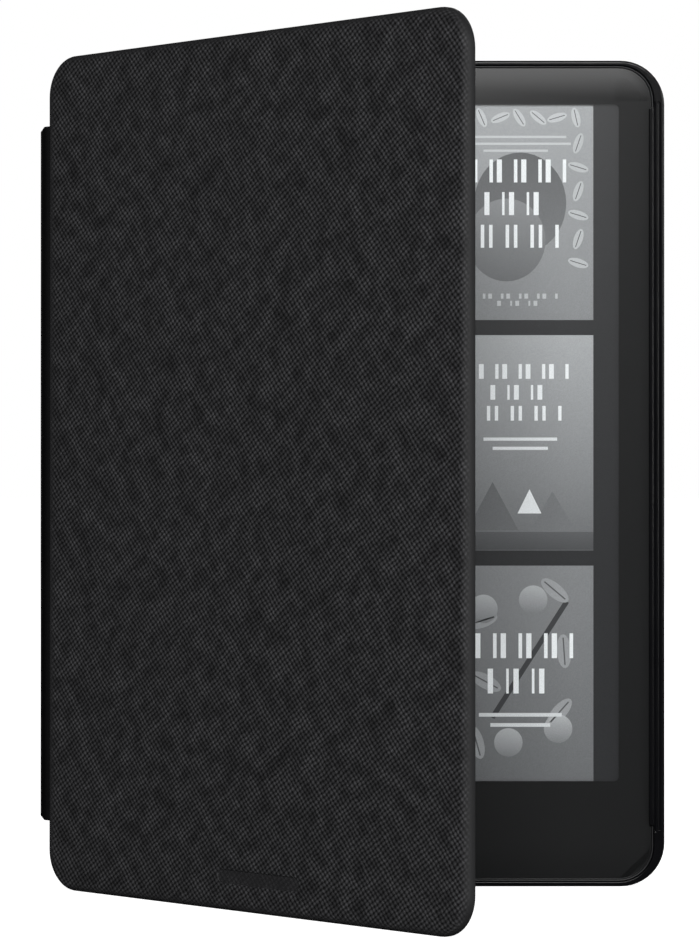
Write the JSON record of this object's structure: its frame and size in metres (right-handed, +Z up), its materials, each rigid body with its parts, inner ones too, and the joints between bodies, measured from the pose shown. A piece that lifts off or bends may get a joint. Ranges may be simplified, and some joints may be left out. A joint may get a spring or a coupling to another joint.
{
  "type": "e-reader",
  "caption": "Slim e-reader clipped into a folio case: display behind a flat lens, hard shell, soft spine and a folding cover, standing upright with the cover open.",
  "frame": {"origin": "middle of the bounding box at the surface the object stands on", "axes": "+Z up the reader's height, -Y out of the display towards the person reading, +X to the right as seen by that person"},
  "size_m": [0.136, 0.1134, 0.179],
  "materials": {
    "shell": "satin",
    "skin": "cross-grain, semi-matt",
    "lining": "brushed microfibre",
    "card": "plain",
    "magnet": "nickel plated",
    "lens": "etched satin",
    "mask": "printed",
    "film": "clear film",
    "ink": "paper-like",
    "seal": "foam",
    "frame": "fine texture",
    "plate": "stamped",
    "steel": "plain",
    "cell": "laminate pouch",
    "tape": "adhesive",
    "flex": "polyimide",
    "board": "solder mask",
    "chip": "moulded",
    "socket": "moulded",
    "tongue": "moulded",
    "button": "satin",
    "clear": "clear",
    "copper": "foil",
    "cable": "jacket"
  },
  "bodies": {
    "reader_in_shell": {"case_shell": "shell", "shell_magnets": "magnet", "back_leather": "skin", "front_lens": "lens", "bezel_mask": "mask", "touch_sensor": "film", "light_guide": "film", "led_strip": "flex", "ink_panel": "ink", "panel_gasket": "seal", "front_frame": "frame", "chassis_plate": "plate", "chassis_screws": "steel", "battery_cell": "cell", "battery_tape": "tape", "battery_lead": "flex", "battery_socket": "socket", "main_board": "board", "board_screws": "steel", "processor": "chip", "memory_chip": "chip", "radio_chip": "chip", "power_chip": "chip", "power_coil": "chip", "shield_cans": "steel", "flex_sockets": "socket", "hall_sensor": "chip", "usb_shell": "steel", "usb_tongue": "tongue", "power_switch": "steel", "light_pipe": "clear", "status_led": "socket", "antenna": "copper", "antenna_cable": "cable", "display_flex": "flex", "touch_flex": "flex", "light_flex": "flex", "perimeter_seal": "seal", "rear_housing": "frame"},
    "spine": {"spine_leather": "skin", "spine_board": "card", "spine_lining": "lining"},
    "cover": {"cover_leather": "skin", "cover_board": "card", "cover_lining": "lining", "closing_magnets": "magnet", "sleep_magnet": "magnet"},
    "button": {"power_button": "button", "switch_plunger": "socket"}
  },
  "joints": [
    {"name": "spine_fold", "type": "hinge", "parent": "reader_in_shell", "child": "spine", "pos_m": [-0.0677, 0.05628, 0], "axis": [0, 0, -1], "range_deg": [0, 180]},
    {"name": "cover_fold", "type": "hinge", "parent": "spine", "child": "cover", "pos_m": [-0.0659, 0.04348, 0], "axis": [0, 0, -1], "range_deg": [-48.8, 131.2]},
    {"name": "power_button_press", "type": "slide", "parent": "reader_in_shell", "child": "button", "axis": [0, 0, 1], "range_m": [0, 0.00035], "stiffness_N_per_m": 2500}
  ]
}
